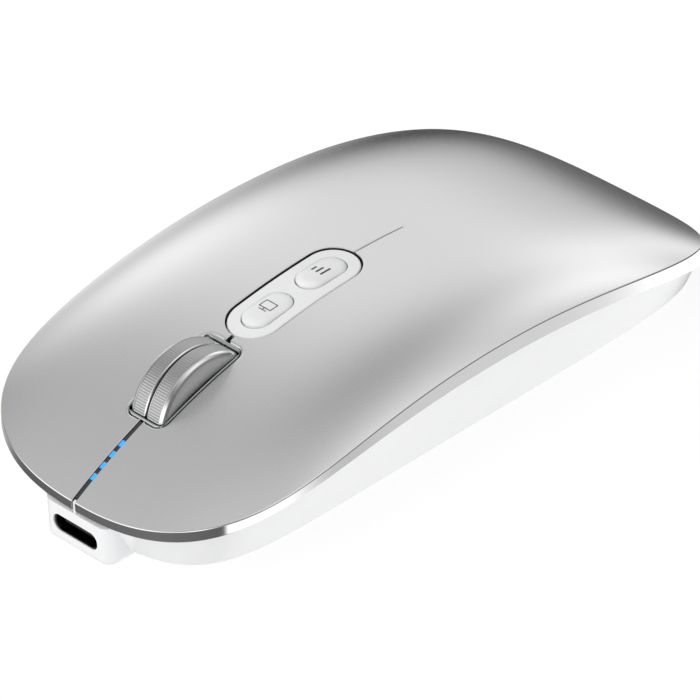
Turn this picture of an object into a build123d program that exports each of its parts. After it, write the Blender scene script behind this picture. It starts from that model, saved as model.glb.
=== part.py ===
from build123d import *
import math
import os

# Slim rechargeable wireless mouse. Millimetres. The front, with the USB-C socket, faces -Y, the palm
# end faces +Y, +Z is up and the origin is on the desk below the middle of the outline.

# ---------------------------------------------------------------- driving dimensions: outer form
HALF_LENGTH = 56.0
HALF_WIDTH = 28.5
RIM_FRONT = (2.39, 6.31)        # superellipse exponents (across, along) of the rim, front half
RIM_REAR = (2.69, 4.44)
FOOT_HALF_WIDTH = 19.94         # outline of the flat underside
FOOT_FRONT_LENGTH = 51.65
FOOT_REAR_LENGTH = 54.13
FOOT_FRONT = (3.2, 7.9)
FOOT_REAR = (5.86, 5.78)
CROWN = (23.38, -0.25, -13.05, -1.235, -2.96)    # height of the middle line over u = y / HALF_LENGTH
EDGE_DROP = (3.21, -0.02, -1.12)                 # how far the surface falls from middle to rim over u
EDGE_POWER = 5.25
PARTING = (17.46, -0.43, -8.83, -1.76, -3.48)    # height of the cover's lower edge over u
UNDERSIDE = 0.8
OUTLINE_POINTS = 56

# ---------------------------------------------------------------- driving dimensions: shells
SKIN = 1.1                      # thickness of the cover's top skin
SKIRT = 0.6                     # thickness of the cover's polished band
CASE_GAP = 0.15                 # between the band and the case wall behind it
CASE_WALL = 1.5
CASE_FLOOR = 2.2                # height of the inside of the floor
CASE_DROP = 1.7                 # case edge below the outer surface, so that the plates can move
EDGE_CHAMFER = 0.9

# ---------------------------------------------------------------- driving dimensions: click plates
HINGE_Y = 9.0
SLIT = 0.7
SEAM = 0.36
SWITCH_X = 13.5
SWITCH_Y = -30.0
SWITCH_SIZE = (5.8, 12.8, 6.5)
PLUNGER_TOP = 13.5
POST_RADIUS = 1.6
PLUNGER_RADIUS = 0.9
PLUNGER_GAP = 0.1
PLUNGER_LENGTH = 1.7

# ---------------------------------------------------------------- driving dimensions: wheel
WHEEL_Y = -32.7
WHEEL_Z = 13.3
WHEEL_RADIUS = 9.35
GROOVE_RADIUS = 9.03
GROOVE_HALF = 0.18
GROOVE_BEVEL = 0.12
WHEEL_HALF = 3.4
RIM_DEPTH = 1.7
RIM_BEVEL = 0.6
HUB_HALF = 2.9
HUB_BOSS_RADIUS = 2.0
HUB_DISH = (2.0, 5.0)           # recess in each side of the hub, along X
SIDE_DISC = (2.9, 3.25)         # metal disc that closes each side of the wheel
SIDE_HOLE_RADIUS = 2.3
GUARD_SINK = 0.25               # filler pieces at the two ends of the wheel opening
GUARD_GAP = 0.2
GUARD_DEPTH = 3.0
GUARD_BRIDGE = (-25.6, -23.6)    # tab that joins the rear filler to the bezel, under the click plates
GUARD_BRIDGE_HALF = 1.8
GUARD_BRIDGE_DEPTH = (1.36, 2.6)
AXLE_RADIUS = 1.0
AXLE_HALF = 8.1
RUNNING_GAP = 0.05
DISC_RADIUS = 3.8
DISC_X = 4.4
DISC_THICKNESS = 0.6
DISC_SLOTS = 12
SLOT_SIZE = (7.5, 17.7)         # opening in the cover for the wheel
SLOT_Y = -33.85
SLOT_CORNER = 1.8

# ---------------------------------------------------------------- driving dimensions: buttons
PILL_SIZE = (9.0, 23.8)
PILL_Y = -12.55
PILL_GAP = 0.15
BEZEL_SINK = 0.12
BEZEL_PLATE = 1.2
BEZEL_DEPTH = 2.9
BUTTON_SIZE = (4.6, 8.4)
BUTTON_Y = {"desktop": -17.8, "speed": -7.2}
BUTTON_GAP = 0.12
BUTTON_RISE = 0.55
BUTTON_FLANGE = 0.6
BUTTON_PLUNGER_Z = 18.15
BUTTON_BOARD = (6.8, 17.6, 0.8)
BUTTON_BOARD_Z = 14.8

# ---------------------------------------------------------------- driving dimensions: inside
BOARD_Z = 5.3
BOARD_THICKNESS = 1.0
BOARD_TOP = BOARD_Z + BOARD_THICKNESS
BOARD_FRONT = -50.4
BOARD_REAR = 15.5
FRAME_SCREW = (5.2, -12.0)
PALM_SCREW = (15.2, 38.0)
SCREW_RADIUS = 0.9
SCREW_HEAD = (1.9, 1.2)
SCREW_HEAD_Z = 1.7
SENSOR_Y = 6.0
POWER_Y = -4.0
POWER_TRAVEL = 2.0
USB_Z = 3.7
USB_MOUTH = (9.1, 2.8)
USB_SHELL = (8.94, 3.16, 7.35)
USB_WALL = 0.3
USB_BACK = 1.2                  # thickness of the shell's closed end
USB_SETBACK = 0.25
BOSS_HALF = 6.75
BOSS_BOTTOM = 0.35
BOSS_TOP = 6.8
BOSS_DEPTH = 7.0
BOSS_ROUND = 2.0
BOSS_EDGE = 1.0
LAMP_Y = (-51.95, -50.1, -48.25, -46.4)
LAMP_LENGTH = 0.95
BAR_WIDTH = 0.5
BAR_SINK = 0.12
BAR_FRONT = -55.35
BAR_REAR = -42.55
BAR_FOOT = ((-1.5, 1.5), (-50.2, -45.9), 9.4)    # block under the bar: width, place in Y, top
TAB_WIDTH = 0.4                 # white tab of the case in the front end of the slit
TAB_Y = (-55.85, -55.45)
TAB_FOOT = 5.5
TAB_SINK = 0.3
FEET = ((-44.0, 24.0, 5.5), (46.5, 27.0, 6.5))    # place in Y, length, width of each glide foot
FOOT_THICKNESS = 1.0
CASE_POSTS = ((15.0, 10.0), (12.0, -42.0))
PIN = (6.6, -44.2)              # upright pins that guide the yoke
PIN_RADIUS = 0.6
YOKE_Z = (7.2, 8.4)
YOKE_ARM = 2.6
YOKE_TAB_Z = (10.5, 11.7)
MIDDLE_SWITCH_Y = -18.6
FRAME_SPAN = (-22.8, 3.0)
FRAME_HALF = 6.9
CHIP_TOP = 8.9
FRAME_BOSS_RADIUS = 2.7         # screw bosses on the floor
PALM_BOSS_RADIUS = 2.4          # screw bosses under the palm cover
PALM_BOSS_BOTTOM = 6.0
POST_FOOT_RADIUS = 1.4          # posts that carry the board
SCREW_TIP = 10.2
SCREW_HOLE_TOP = 10.5
HOLE_GAP = 0.15
SENSOR_WINDOW = 4.6
LENS_DISH = (2.2, 1.6)          # radius and top of the recess under the lens

# ---------------------------------------------------------------- construction: reach of cutting solids
HIGH = 30.0                     # above everything
FAR = 70.0                      # beyond everything in X and Y
OVERLAP = 0.6                   # how far a part reaches into the one it grows from
FLOOR_ROOT = 1.5                # height inside the floor from which bosses rise


# ---------------------------------------------------------------- form helpers
def polynomial(terms, y):
    """Value of a polynomial in u = y / HALF_LENGTH."""
    u = y / HALF_LENGTH
    return sum(term * u ** power for power, term in enumerate(terms))


def surface_height(x, y):
    """Height of the cover's outer surface."""
    return polynomial(CROWN, y) - polynomial(EDGE_DROP, y) * abs(x / HALF_WIDTH) ** EDGE_POWER


def superellipse_radius(angle, exponents):
    """Scale that puts (cos, sin) of the angle on |x|^p + |y|^q = 1, by bisection."""
    p, q = exponents
    low, high = 0.5, 2.0
    for _ in range(50):
        middle = (low + high) / 2
        value = abs(middle * math.cos(angle)) ** p + abs(middle * math.sin(angle)) ** q
        if value < 1:
            low = middle
        else:
            high = middle
    return low


def outline_point(index, half_width, front, rear, front_powers, rear_powers):
    """One of OUTLINE_POINTS points round an outline whose front and rear halves differ."""
    angle = 2 * math.pi * index / OUTLINE_POINTS
    powers = rear_powers if math.sin(angle) >= 0 else front_powers
    length = rear if math.sin(angle) >= 0 else front
    scale = superellipse_radius(angle, powers)
    return (half_width * scale * math.cos(angle), length * scale * math.sin(angle))


def rim_point(index, inset=0.0):
    return outline_point(index, HALF_WIDTH - inset, HALF_LENGTH - inset, HALF_LENGTH - inset,
                         RIM_FRONT, RIM_REAR)


def foot_point(index, inset=0.0):
    return outline_point(index, FOOT_HALF_WIDTH - inset, FOOT_FRONT_LENGTH - inset,
                         FOOT_REAR_LENGTH - inset, FOOT_FRONT, FOOT_REAR)


def closed_wire(points):
    """Smooth closed wire through the points, as four quarter splines on even parameters."""
    count = len(points)
    spans = count // 4
    corners = [Vector(*point) for point in points]
    edges = []
    for quarter in range(4):
        first = quarter * spans
        run = [corners[(first + i) % count] for i in range(spans + 1)]
        ends = [(corners[(i + 1) % count] - corners[(i - 1) % count]) * (spans / 2)
                for i in (first, first + spans)]
        edges.append(Edge.make_spline(run, tangents=ends, scale=False,
                                      parameters=[i / spans for i in range(spans + 1)]))
    return Wire(edges)


def rim_prism(inset, bottom=-5.0, top=35.0):
    """Upright prism on the rim outline."""
    points = [(*rim_point(i, inset), bottom) for i in range(OUTLINE_POINTS)]
    return extrude(Face(closed_wire(points)), amount=top - bottom, dir=(0, 0, 1))


def wall_point(index, z, rim_inset, foot_inset):
    """Point of the leaning case wall at a height: straight from the foot outline to the parting edge."""
    rim_x, rim_y = rim_point(index, rim_inset)
    foot_x, foot_y = foot_point(index, foot_inset)
    share = (z - UNDERSIDE) / (polynomial(PARTING, rim_point(index)[1]) - UNDERSIDE)
    return (foot_x + (rim_x - foot_x) * share, foot_y + (rim_y - foot_y) * share, z)


def hull(bottom, top, rim_inset, foot_inset, chamfer=0.0):
    """Solid inside the leaning wall between two heights, with an optional chamfer round its bottom."""
    def section(z, extra):
        return closed_wire([wall_point(i, z, rim_inset, foot_inset + extra) for i in range(OUTLINE_POINTS)])
    sections = [section(bottom + chamfer, 0.0), section(top, 0.0)]
    body = Solid.make_loft(sections, ruled=True)
    if chamfer:
        body = body + Solid.make_loft([section(bottom, chamfer), section(bottom + chamfer, 0.0)], ruled=True)
    return body


def below_surface(offset):
    """Everything under the cover's outer surface moved down by the offset."""
    columns, rows = 25, 41
    reach_x, reach_y = HALF_WIDTH + 2.0, HALF_LENGTH + 2.5
    grid = []
    for column in range(columns):
        x = reach_x * (2 * column / (columns - 1) - 1)
        line = []
        for row in range(rows):
            y = reach_y * (2 * row / (rows - 1) - 1)
            line.append(Vector(x, y, surface_height(x, y) - offset))
        grid.append(line)
    top = Face.make_surface_from_array_of_points(grid, tol=0.004)
    return extrude(top, amount=40, dir=(0, 0, -1))


def below_parting():
    """Everything under the cover's lower edge."""
    reach = HALF_LENGTH + 1.5
    count = 15
    heights = []
    for i in range(count):
        y = reach * (2 * i / (count - 1) - 1)
        heights.append((0, y, polynomial(PARTING, y)))
    edge = Spline(*heights)
    sides = Polyline(heights[-1], (0, reach, -10), (0, -reach, -10), heights[0])
    return extrude(make_face(edge + sides), amount=40, dir=(1, 0, 0), both=True)


def block(x, y, z):
    """Box between pairs of limits."""
    size = (x[1] - x[0], y[1] - y[0], z[1] - z[0])
    return Pos((x[0] + x[1]) / 2, (y[0] + y[1]) / 2, (z[0] + z[1]) / 2) * Box(*size)


def rod(radius, x, y, bottom, top):
    """Upright cylinder."""
    return Pos(x, y, (bottom + top) / 2) * Cylinder(radius, top - bottom)


def stadium(width, length, y):
    """Tall upright prism with straight sides and round ends, long in Y."""
    sketch = Pos(0, y, 0) * Rot(0, 0, 90) * SlotOverall(length, width)
    return extrude(sketch, amount=HIGH, dir=(0, 0, 1))


def crosswise(radius, x, y=WHEEL_Y, z=WHEEL_Z):
    """Cylinder along X between a pair of limits."""
    return Pos((x[0] + x[1]) / 2, y, z) * Rot(0, 90, 0) * Cylinder(radius, x[1] - x[0])


def save(name, shape):
    export_step(shape, f"parts/{name}.step")


# ---------------------------------------------------------------- shared tool solids
os.makedirs("parts", exist_ok=True)
under_top = below_surface(0.0)
under_skin = Pos(0, 0, -SKIN) * under_top
under_parting = below_parting()


# ---------------------------------------------------------------- top cover
def cover_shell():
    """Whole cover before it is split into its rigid palm part and its two click plates."""
    outer = (rim_prism(0.0) & under_top) - under_parting
    return outer - (rim_prism(SKIRT) & under_skin)


def palm_cover(shell):
    part = shell & block((-FAR, FAR), (HINGE_Y, FAR), (0, HIGH))
    for side in (-1, 1):
        x = side * PALM_SCREW[0]
        boss = rod(PALM_BOSS_RADIUS, x, PALM_SCREW[1], PALM_BOSS_BOTTOM, HIGH)
        part = part + (boss & (Pos(0, 0, -SKIN / 2) * under_top))
        part = part - rod(SCREW_RADIUS, x, PALM_SCREW[1], PALM_BOSS_BOTTOM, SCREW_HOLE_TOP)
    return part


def click_plate(shell):
    """Left plate, on the +X side: it carries the post that presses its switch."""
    part = shell & block((SLIT / 2, FAR), (-FAR, HINGE_Y), (0, HIGH))
    part = part + shell.intersect(block((SEAM / 2, SLIT), (PILL_Y, HINGE_Y), (0, HIGH)))
    part = part - stadium(PILL_SIZE[0], PILL_SIZE[1], PILL_Y)
    opening = extrude(Pos(0, SLOT_Y, 0) * RectangleRounded(*SLOT_SIZE, SLOT_CORNER), amount=HIGH)
    part = part - opening
    post = rod(POST_RADIUS, SWITCH_X, SWITCH_Y, PLUNGER_TOP, HIGH)
    return part + (post & (Pos(0, 0, -SKIN / 2) * under_top))


# ---------------------------------------------------------------- bottom case
def usb_boss():
    """Rounded block at the front that surrounds the USB-C socket."""
    boss = block((-BOSS_HALF, BOSS_HALF), (-HALF_LENGTH, -HALF_LENGTH + BOSS_DEPTH), (BOSS_BOTTOM, BOSS_TOP))
    upright = boss.edges().filter_by(Axis.Z).group_by(Axis.Y)[0]
    boss = fillet(upright, BOSS_ROUND)
    lower = boss.faces().sort_by(Axis.Z)[0].edges().sort_by(Axis.Y)[:-1]
    return fillet(lower, BOSS_EDGE)


def case_supports():
    """Screw bosses, board posts and yoke pins that stand on the floor."""
    supports = []
    for side in (-1, 1):
        for (x, y), top in ((FRAME_SCREW, BOARD_Z), (PALM_SCREW, PALM_BOSS_BOTTOM)):
            supports.append(rod(FRAME_BOSS_RADIUS, side * x, y, FLOOR_ROOT, top))
        for x, y in CASE_POSTS:
            supports.append(rod(POST_FOOT_RADIUS, side * x, y, FLOOR_ROOT, BOARD_Z))
        supports.append(rod(PIN_RADIUS, side * PIN[0], PIN[1], FLOOR_ROOT, YOKE_Z[1] + 1.2))
    return supports


def slit_tab():
    """Narrow upright tab of the case that fills the front end of the slit."""
    front, back = TAB_Y
    side = Polyline((0, front, TAB_FOOT), (0, back, TAB_FOOT), (0, back, surface_height(0, back) - TAB_SINK),
                    (0, front, surface_height(0, front) - TAB_SINK), (0, front, TAB_FOOT))
    return extrude(make_face(side), amount=TAB_WIDTH / 2, dir=(1, 0, 0), both=True)


def case_openings():
    """Screw holes, socket mouth and pocket, sensor window, power switch slot and foot recesses."""
    cuts = foot_blanks(0.12)
    for side in (-1, 1):
        for x, y in (FRAME_SCREW, PALM_SCREW):
            hole = rod(SCREW_RADIUS + HOLE_GAP, side * x, y, 0, BOARD_TOP + OVERLAP)
            cuts.append(hole + rod(SCREW_HEAD[0] + 0.2, side * x, y, 0, SCREW_HEAD_Z + SCREW_HEAD[1]))
    mouth = Pos(0, -HALF_LENGTH, USB_Z) * Rot(90, 0, 0) * RectangleRounded(*USB_MOUTH, 1.35)
    pocket = block((-4.6, 4.6), (-HALF_LENGTH + USB_SETBACK - 0.05, -46.5), (2.05, BOARD_Z + 0.2))
    cuts.append(extrude(mouth, amount=3, both=True) + pocket)
    window = (SENSOR_Y - SENSOR_WINDOW, SENSOR_Y + SENSOR_WINDOW)
    cuts.append(block((-7.1, 7.1), window, (0, 4)))
    cuts.append(block((-2.6, 2.6), (POWER_Y - 1.1, POWER_Y + 1.1), (0, 4)))
    return cuts


def bottom_case():
    inset = SKIRT + CASE_GAP
    cavity = hull(CASE_FLOOR, 22.0, inset + CASE_WALL, CASE_WALL) & rim_prism(inset + CASE_WALL)
    part = hull(UNDERSIDE, 20.0, inset, 0.0, EDGE_CHAMFER) & rim_prism(inset)
    part = (part + usb_boss()) - cavity
    part = part + case_supports()
    part = part - case_openings()
    return (part & (Pos(0, 0, -CASE_DROP) * under_top)) + slit_tab()


def foot_blanks(grow=0.0):
    """Front and rear glide feet, round-ended bars across the underside."""
    blanks = []
    for y, length, width in FEET:
        sketch = Pos(0, y, 0) * SlotOverall(length + 2 * grow, width + 2 * grow)
        blanks.append(extrude(sketch, amount=FOOT_THICKNESS, dir=(0, 0, 1)))
    return blanks


# ---------------------------------------------------------------- wheel
def wheel_rim():
    """Left rim, on the +X side: a metal ring with a broad outer bevel and a disc that closes the side."""
    ring = crosswise(WHEEL_RADIUS, (GROOVE_HALF, WHEEL_HALF)) - crosswise(
        WHEEL_RADIUS - RIM_DEPTH, (GROOVE_HALF, WHEEL_HALF))
    outer = ring.edges().filter_by(GeomType.CIRCLE).group_by(SortBy.RADIUS)[-1].sort_by(Axis.X)
    ring = chamfer(outer[-1], RIM_BEVEL)
    inner = ring.edges().filter_by(GeomType.CIRCLE).group_by(SortBy.RADIUS)[-1].sort_by(Axis.X)
    ring = chamfer(inner[0], GROOVE_BEVEL)
    return ring + (crosswise(WHEEL_RADIUS - RIM_DEPTH, SIDE_DISC) - crosswise(SIDE_HOLE_RADIUS, SIDE_DISC))


def wheel_guard(end):
    """Filler between the wheel and the front (-1) or rear (1) end of its opening in the cover."""
    width, length = SLOT_SIZE[0] - 2 * PILL_GAP, SLOT_SIZE[1] - 2 * PILL_GAP
    prism = extrude(Pos(0, SLOT_Y, 0) * RectangleRounded(width, length, SLOT_CORNER - PILL_GAP), amount=HIGH)
    ends = sorted((WHEEL_Y, SLOT_Y + end * (length / 2 + 1)))
    guard = at_surface(prism & block((-10, 10), ends, (0, HIGH)), GUARD_SINK, GUARD_DEPTH)
    if end > 0:
        bridge = block((-GUARD_BRIDGE_HALF, GUARD_BRIDGE_HALF), GUARD_BRIDGE, (0, HIGH))
        pill = stadium(PILL_SIZE[0] - 2 * PILL_GAP, PILL_SIZE[1] - 2 * PILL_GAP, PILL_Y)
        guard = guard + (at_surface(bridge, *GUARD_BRIDGE_DEPTH) - pill)
    return guard - crosswise(WHEEL_RADIUS + GUARD_GAP, (-10, 10))


def wheel_hub():
    radius = WHEEL_RADIUS - RIM_DEPTH
    hub = crosswise(radius, (-HUB_HALF, HUB_HALF)) + crosswise(GROOVE_RADIUS, (-GROOVE_HALF, GROOVE_HALF))
    hub = hub + crosswise(HUB_BOSS_RADIUS, (-DISC_X, DISC_X))
    for side in (-1, 1):
        span = sorted((side * HUB_DISH[0], side * HUB_DISH[1]))
        hub = hub - (crosswise(radius - 1.2, span) - crosswise(HUB_BOSS_RADIUS, span))
    return hub - crosswise(AXLE_RADIUS + RUNNING_GAP, (-10, 10))


def encoder_disc():
    """Slotted disc on the -X end of the hub."""
    span = (-DISC_X - DISC_THICKNESS, -DISC_X)
    disc = crosswise(DISC_RADIUS, span) - crosswise(AXLE_RADIUS + RUNNING_GAP, span)
    window = Box(2, 1.3, 0.55)
    for i in range(DISC_SLOTS):
        turn = Rot(360.0 * i / DISC_SLOTS, 0, 0) * Pos(0, 2.85, 0)
        disc = disc - Pos(sum(span) / 2, WHEEL_Y, WHEEL_Z) * turn * window
    return disc


def wheel_yoke():
    """Cradle round the wheel: two bearing arms, a ring that slides on pins, and a tab over its switch."""
    ring = block((-8.4, 8.4), (-45.4, -21.0), YOKE_Z) - block((-6.4, 4.2), (-42.6, -22.4), (7, 9))
    for side in (-1, 1):
        x = sorted((side * 6.4, side * 8.2))
        ring = ring + block(x, (WHEEL_Y - YOKE_ARM, WHEEL_Y + YOKE_ARM), (8.0, WHEEL_Z))
        ring = ring + crosswise(YOKE_ARM, x)
        ring = ring - rod(PIN_RADIUS + 0.08, side * PIN[0], PIN[1], 7, 9)
    ring = ring + block((-3, 3), (-22.2, -21.0), (8.0, YOKE_TAB_Z[1]))
    ring = ring + block((-3, 3), (-21.5, -16.2), YOKE_TAB_Z)
    return ring - crosswise(AXLE_RADIUS, (-AXLE_HALF, AXLE_HALF))


# ---------------------------------------------------------------- buttons
def at_surface(sketch_solid, shallow, deep):
    """The slice of a prism between two depths below the outer surface."""
    return (sketch_solid & (Pos(0, 0, -shallow) * under_top)) - (Pos(0, 0, -deep) * under_top)


def button_bezel():
    width, length = PILL_SIZE[0] - 2 * PILL_GAP, PILL_SIZE[1] - 2 * PILL_GAP
    part = at_surface(stadium(width, length, PILL_Y), BEZEL_SINK, BEZEL_DEPTH)
    inside = stadium(width - 1.6, length - 1.6, PILL_Y)
    part = part - (inside & (Pos(0, 0, -BEZEL_SINK - BEZEL_PLATE) * under_top))
    for y in BUTTON_Y.values():
        part = part - stadium(BUTTON_SIZE[0] + 2 * BUTTON_GAP, BUTTON_SIZE[1] + 2 * BUTTON_GAP, y)
    return part


def button_cap(y):
    """Raised cap with a softened edge, a flange under the bezel and a stem down to its switch."""
    width, length = BUTTON_SIZE
    flange_top = BEZEL_SINK + BEZEL_PLATE + 0.06
    cap = at_surface(stadium(width, length, y), -BUTTON_RISE + 0.3, flange_top + 0.1)
    crown = at_surface(stadium(width - 0.6, length - 0.6, y), -BUTTON_RISE, -BUTTON_RISE + 0.4)
    flange = at_surface(stadium(width + 1.2, length + 1.1, y), flange_top, flange_top + BUTTON_FLANGE)
    stem = rod(1.2, 0, y, BUTTON_PLUNGER_Z, HIGH) & (Pos(0, 0, -flange_top) * under_top)
    return cap + crown + flange + stem


def center_frame():
    """Bridge under the bezel: it stands on the board and clips the button board below itself."""
    slab = block((-FRAME_HALF, FRAME_HALF), FRAME_SPAN, (0, HIGH))
    plate = at_surface(slab, BEZEL_DEPTH + 0.02, BEZEL_DEPTH + 1.2)
    for y in BUTTON_Y.values():
        plate = plate - rod(1.9, 0, y, 0, HIGH)
    legs = Pos(0, 0, -BEZEL_DEPTH - 0.6) * under_top
    for side in (-1, 1):
        x = side * FRAME_SCREW[0]
        plate = plate + (rod(1.6, x, FRAME_SCREW[1], BOARD_TOP, HIGH) & legs)
        plate = plate - rod(SCREW_RADIUS, x, FRAME_SCREW[1], BOARD_TOP, SCREW_HOLE_TOP)
    middle = sum(BUTTON_Y.values()) / 2
    reach = BUTTON_BOARD[1] / 2
    for side in (-1, 1):
        wall = sorted((middle + side * (reach + 0.05), middle + side * (reach + 0.85)))
        hook = sorted((middle + side * (reach - 0.6), middle + side * (reach + 0.85)))
        plate = plate + (block((-2, 2), wall, (BUTTON_BOARD_Z - 0.8, HIGH)) & legs)
        plate = plate + block((-2, 2), hook, (BUTTON_BOARD_Z - 0.8, BUTTON_BOARD_Z))
    return plate


def button_board():
    middle = sum(BUTTON_Y.values()) / 2
    return Pos(0, middle, BUTTON_BOARD_Z + BUTTON_BOARD[2] / 2) * Box(*BUTTON_BOARD)


def switch_body(size, x, y, bottom, plunger_radius, depth):
    """Switch housing with a round well in its top for the plunger."""
    top = bottom + size[2]
    body = block((x - size[0] / 2, x + size[0] / 2), (y - size[1] / 2, y + size[1] / 2), (bottom, top))
    body = chamfer(body.edges().filter_by(Axis.Z), 0.3)
    return body - rod(plunger_radius + PLUNGER_GAP, x, y, top - depth, top + 1)


# ---------------------------------------------------------------- inside
def main_board():
    outline = Polyline((-11, BOARD_FRONT), (11, BOARD_FRONT), (17, -41), (18, -30), (18, BOARD_REAR),
                       (-18, BOARD_REAR), (-18, -30), (-17, -41), (-11, BOARD_FRONT))
    board = Pos(0, 0, BOARD_Z) * extrude(make_face(outline), amount=BOARD_THICKNESS)
    board = board - block((-3.9, 3.9), (-43.0, -22.4), (5, 7))
    board = board - block((-2.6, 2.6), (SENSOR_Y - 2.6, SENSOR_Y + 2.6), (5, 7))
    for side in (-1, 1):
        board = board - rod(SCREW_RADIUS + HOLE_GAP, side * FRAME_SCREW[0], FRAME_SCREW[1], 5, 7)
        board = board - rod(PIN_RADIUS + 0.3, side * PIN[0], PIN[1], 5, 7)
    return board


def usb_shell():
    """Drawn-steel receptacle shell, open at the front."""
    width, height, depth = USB_SHELL
    front = -HALF_LENGTH + USB_SETBACK
    mouth = Pos(0, front, USB_Z) * Rot(90, 0, 0)
    outer = extrude(mouth * RectangleRounded(width, height, 1.5), amount=-depth)
    size = (width - 2 * USB_WALL, height - 2 * USB_WALL)
    return outer - extrude(mouth * RectangleRounded(*size, 1.2), amount=USB_BACK - depth)


def usb_tongue():
    """Contact tongue on a block that closes the back of the shell."""
    front = -HALF_LENGTH + USB_SETBACK
    back = front + USB_SHELL[2] - USB_BACK
    size = (USB_SHELL[0] - 2 * USB_WALL, USB_SHELL[1] - 2 * USB_WALL)
    root = extrude(Pos(0, back, USB_Z) * Rot(90, 0, 0) * RectangleRounded(*size, 1.2), amount=USB_BACK)
    return root + block((-3.3, 3.3), (front + 0.9, back - 1.0), (USB_Z - 0.35, USB_Z + 0.35))


def light_bar():
    """Dark strip that stands in the front slit, on a block on the board."""
    width, length, top = BAR_FOOT
    tongue = block((-BAR_WIDTH / 2, BAR_WIDTH / 2), (BAR_FRONT, BAR_REAR), (top - OVERLAP, HIGH))
    tongue = tongue & (Pos(0, 0, -BAR_SINK) * under_top)
    return (tongue + block(width, length, (BOARD_TOP, top))) - lamps()


def lamps():
    """Four lamp windows set in the top of the light bar."""
    group = []
    for y in LAMP_Y:
        column = block((-BAR_WIDTH / 2, BAR_WIDTH / 2), (y - LAMP_LENGTH / 2, y + LAMP_LENGTH / 2), (0, HIGH))
        group.append(at_surface(column, BAR_SINK, BAR_SINK + 0.8))
    return Compound(children=[solid for part in group for solid in part.solids()])


def sensor_lens():
    """Clear lens plate in the window of the floor, with a stepped body up to the sensor."""
    plate = block((-6.9, 6.9), (SENSOR_Y - 4.4, SENSOR_Y + 4.4), (1.2, 2.3))
    body = block((-4.6, 4.6), (SENSOR_Y - 3.2, SENSOR_Y + 3.2), (2.3, BOARD_Z - 0.05))
    neck = rod(1.6, 0, SENSOR_Y, BOARD_Z - 0.5, BOARD_TOP)
    return plate + body + neck - rod(LENS_DISH[0], 0, SENSOR_Y, 1.0, LENS_DISH[1])


def power_knob():
    """Knob at its off end. It slides towards +X by POWER_TRAVEL."""
    x = -POWER_TRAVEL / 2
    knob = block((x - 1.5, x + 1.5), (POWER_Y - 0.9, POWER_Y + 0.9), (0.95, 3.2))
    ribs = Compound(children=[block((x + dx - 0.2, x + dx + 0.2), (POWER_Y - 0.7, POWER_Y + 0.7),
                                    (UNDERSIDE, 1.2)) for dx in (-0.9, 0.0, 0.9)])
    return knob + ribs


def power_body():
    body = block((-4.3, 4.3), (POWER_Y - 1.8, POWER_Y + 1.8), (2.3, BOARD_Z))
    return body - block((-2.6, 2.6), (POWER_Y - 1.0, POWER_Y + 1.0), (2.2, 3.4))


def battery_pack():
    pack = block((-12, 12), (17.5, 47.0), (CASE_FLOOR + 0.1, 7.3))
    return fillet(pack.edges().filter_by(Axis.Y), 1.2)


def battery_socket():
    return block((-12, -6), (11.0, 14.6), (BOARD_TOP, 9.6)) - block((-11.2, -6.8), (13.0, 15), (7.4, 8.8))


def scroll_sensor():
    """Light barrier whose two legs stand either side of the slotted disc."""
    y = (WHEEL_Y - 2.0, WHEEL_Y + 2.0)
    fork = block((-6.1, -3.65), y, (BOARD_TOP, 10.7))
    return fork - block((-DISC_X - DISC_THICKNESS - 0.2, -DISC_X + 0.2), (-40, -25), (8.9, 13))


def case_screws():
    screws = []
    for x, y in (FRAME_SCREW, PALM_SCREW):
        for side in (-1, 1):
            head = rod(SCREW_HEAD[0], side * x, y, SCREW_HEAD_Z, SCREW_HEAD_Z + SCREW_HEAD[1])
            cross = block((side * x - 1.2, side * x + 1.2), (y - 0.25, y + 0.25), (1.0, 2.3))
            cross = cross + block((side * x - 0.25, side * x + 0.25), (y - 1.2, y + 1.2), (1.0, 2.3))
            screws.append(head + rod(SCREW_RADIUS, side * x, y, SCREW_HEAD_Z, SCREW_TIP) - cross)
    return Compound(children=[solid for screw in screws for solid in screw.solids()])


# ---------------------------------------------------------------- build and write every node
shell = cover_shell()
left_plate = click_plate(shell)
save("palm_cover", palm_cover(shell))
save("left_click_plate", left_plate)
save("right_click_plate", mirror(left_plate, Plane.YZ))
save("bottom_case", bottom_case())

left_rim = wheel_rim()
save("wheel_rim_left", left_rim)
save("wheel_rim_right", mirror(left_rim, Plane.YZ))
save("wheel_hub", wheel_hub())
save("encoder_disc", encoder_disc())
save("wheel_axle", crosswise(AXLE_RADIUS, (-AXLE_HALF, AXLE_HALF)))
save("wheel_yoke", wheel_yoke())
save("front_wheel_guard", wheel_guard(-1))
save("rear_wheel_guard", wheel_guard(1))

save("button_bezel", button_bezel())
save("center_frame", center_frame())
save("button_board", button_board())
for name, y in BUTTON_Y.items():
    board_top = BUTTON_BOARD_Z + BUTTON_BOARD[2]
    save(f"{name}_button", button_cap(y))
    save(f"{name}_switch_body", switch_body((4.2, 3.6, 2.0), 0, y, board_top, 0.9, 1.0))
    save(f"{name}_switch_plunger", rod(0.9, 0, y, BUTTON_PLUNGER_Z - 1.1, BUTTON_PLUNGER_Z))

for name, side in (("left", 1), ("right", -1)):
    x = side * SWITCH_X
    save(f"{name}_switch_body", switch_body(SWITCH_SIZE, x, SWITCH_Y, BOARD_TOP, PLUNGER_RADIUS, 1.4))
    plunger = rod(PLUNGER_RADIUS, x, SWITCH_Y, PLUNGER_TOP - PLUNGER_LENGTH, PLUNGER_TOP)
    save(f"{name}_switch_plunger", plunger)
save("middle_switch_body", switch_body((6.0, 4.2, 3.4), 0, MIDDLE_SWITCH_Y, BOARD_TOP, 1.1, 1.2))
save("middle_switch_plunger", rod(1.1, 0, MIDDLE_SWITCH_Y, 9.2, YOKE_TAB_Z[0]))

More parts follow.
